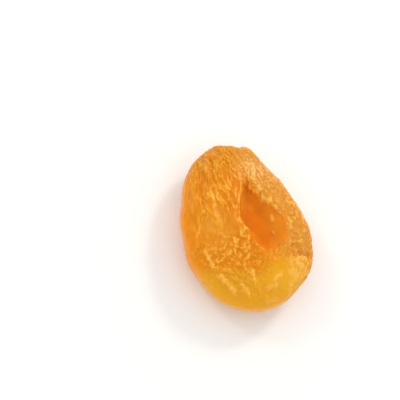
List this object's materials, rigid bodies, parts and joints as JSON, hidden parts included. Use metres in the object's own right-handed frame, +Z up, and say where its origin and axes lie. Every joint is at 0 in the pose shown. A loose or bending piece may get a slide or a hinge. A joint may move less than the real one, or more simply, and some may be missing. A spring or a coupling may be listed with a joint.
{
  "type": "dried apricot",
  "caption": "Whole dried apricot, pitted and pressed flat, with a teardrop hollow on top, folded skin and a small flat spot to rest on.",
  "frame": {"origin": "on the surface that it rests on, under the middle of the fruit's box, in its small flat spot", "axes": "+Z up, out of the pit hollow's side; +Y from the broad foot end to the blunt stem end; +X towards the rim beside the hollow, away from the broad lobe"},
  "size_m": [0.0274, 0.038, 0.013],
  "materials": {
    "apricot_skin": "amber orange dried fruit skin, wrinkled, with a soft waxy gloss"
  },
  "bodies": {
    "root": {"apricot": "apricot_skin"}
  },
  "joints": []
}
